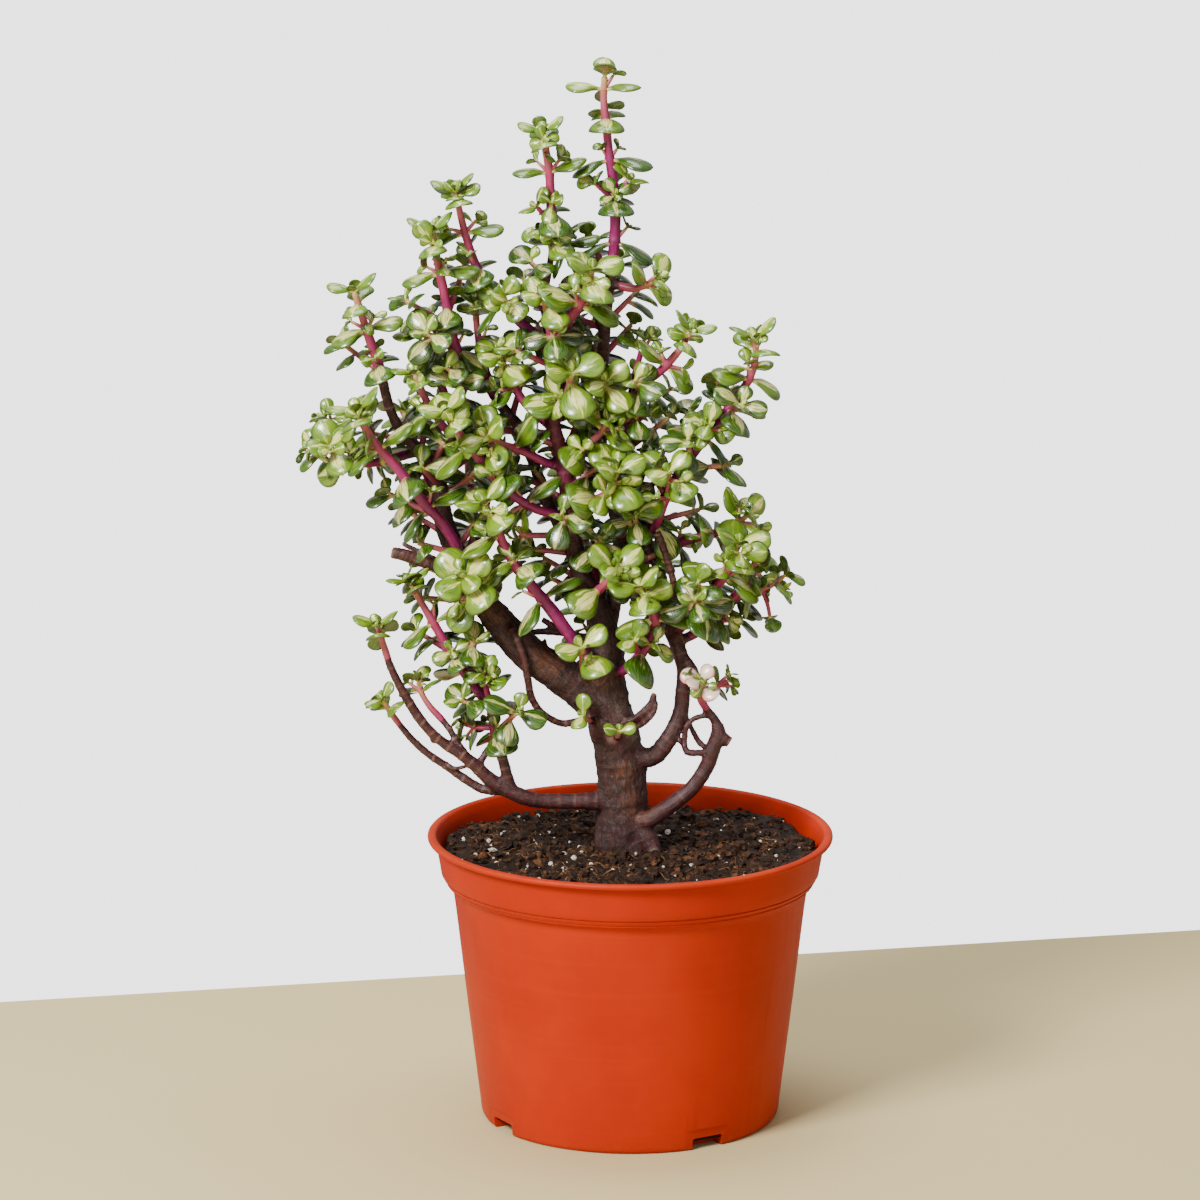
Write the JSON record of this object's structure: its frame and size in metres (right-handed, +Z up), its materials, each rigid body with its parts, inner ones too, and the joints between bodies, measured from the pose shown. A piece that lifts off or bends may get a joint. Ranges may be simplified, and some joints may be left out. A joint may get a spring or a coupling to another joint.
{
  "type": "potted jade bonsai",
  "caption": "Dwarf jade bonsai with a bare brown trunk, crimson stems and small fleshy green and cream leaves, rooted in soil in a round orange plastic nursery pot.",
  "frame": {"origin": "centre of the pot's flat underside", "axes": "+Z up the trunk, -Y towards the front of the picture, +X to the right seen from the front"},
  "size_m": [0.1991, 0.1524, 0.3997],
  "materials": {
    "pot": "satin",
    "soil": "matte",
    "bark": "matte",
    "leaves": "satin",
    "pink_leaves": "satin"
  },
  "bodies": {
    "root": {"pot": "pot", "soil": "soil", "trunk": "bark", "shoot_tallest": "leaves", "shoot_upper_left_tall": "leaves", "shoot_centre_right_rosette": "leaves", "shoot_left_long": "leaves", "shoot_centre_rosette": "leaves", "shoot_centre_back_twig": "leaves", "shoot_right_upper": "leaves", "shoot_centre_upper": "leaves", "shoot_front_upper_rosette": "leaves", "shoot_centre_right_arm": "leaves", "shoot_centre_left_arm": "leaves", "shoot_left_mid_rosette": "leaves", "shoot_left_outer": "leaves", "shoot_left_upper": "leaves", "shoot_left_middle": "leaves", "shoot_left_inner": "leaves", "shoot_left_back": "leaves", "shoot_left_cluster": "leaves", "shoot_left_magenta": "leaves", "shoot_front_left_rosette": "leaves", "shoot_centre_left_twig": "leaves", "shoot_front_diagonal": "leaves", "shoot_limb_rosette": "leaves", "shoot_fork_rosette": "leaves", "shoot_front_right_low": "leaves", "shoot_front_centre": "leaves", "shoot_centre_front_rosette": "leaves", "shoot_right_sweep": "leaves", "shoot_right_reach": "leaves", "shoot_right_inner_rosette": "leaves", "shoot_right_front": "leaves", "shoot_right_middle": "leaves", "shoot_right_low": "leaves", "shoot_pink_tipped": "pink_leaves", "shoot_low_left_outer": "leaves", "shoot_low_left_front": "leaves", "shoot_low_left_long": "leaves", "shoot_low_left_middle": "leaves", "shoot_trunk_left_sprig": "leaves", "shoot_trunk_front_sprig": "leaves", "shoot_back_centre": "leaves", "shoot_back_limb": "leaves", "shoot_back_right": "leaves", "shoot_back_upper": "leaves", "shoot_back_left": "leaves", "shoot_back_low": "leaves"}
  },
  "joints": []
}
